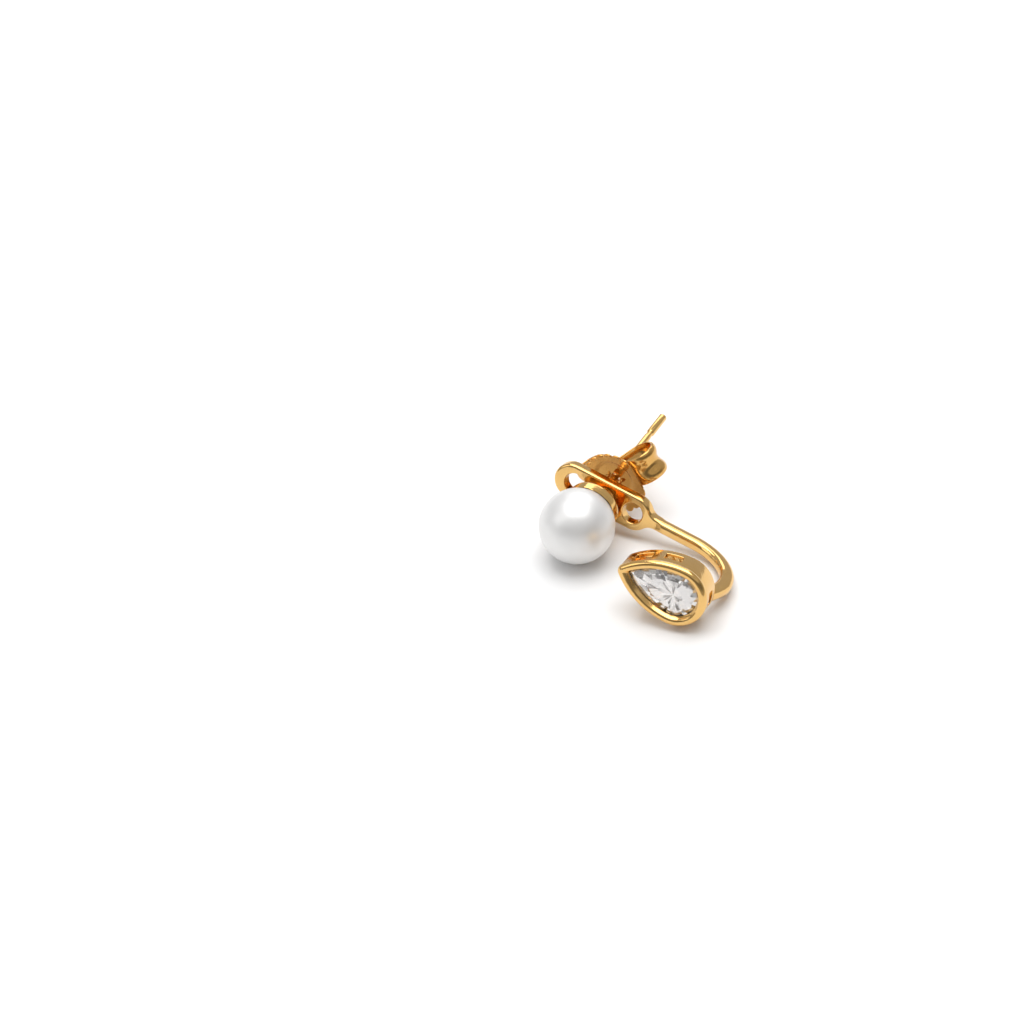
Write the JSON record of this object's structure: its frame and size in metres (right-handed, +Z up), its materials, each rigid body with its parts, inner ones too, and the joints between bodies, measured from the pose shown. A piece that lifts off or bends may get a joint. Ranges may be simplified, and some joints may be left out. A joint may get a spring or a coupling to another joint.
{
  "type": "ear jacket earring",
  "caption": "Pearl stud with a holed bar behind the ear, whose tail curves forward under the lobe to a pear-shaped setting with a clear stone, and a butterfly back.",
  "frame": {"origin": "middle of the part's bounding box, on the table it lies on", "axes": "+Z up from the table; the picture looks along +Y and down; the earring lies on its side"},
  "size_m": [0.015, 0.0234, 0.0062],
  "materials": {
    "gold": "polished",
    "nacre": "pearl lustre",
    "crystal": "faceted, polished"
  },
  "bodies": {
    "stud": {"pearl": "nacre", "stud_post": "gold"},
    "jacket": {"ear_jacket": "gold", "pear_stone": "crystal"},
    "back": {"butterfly_back": "gold"}
  },
  "joints": [
    {"name": "jacket_turn", "type": "hinge", "parent": "stud", "child": "jacket", "pos_m": [-0.00234, 0.00212, 0.00306], "axis": [-0.4872, -0.8732, -0.0138], "continuous": true},
    {"name": "back_slide", "type": "slide", "parent": "stud", "child": "back", "axis": [0.4872, 0.8732, 0.0138], "range_m": [-0.0004, 0.0085]}
  ]
}
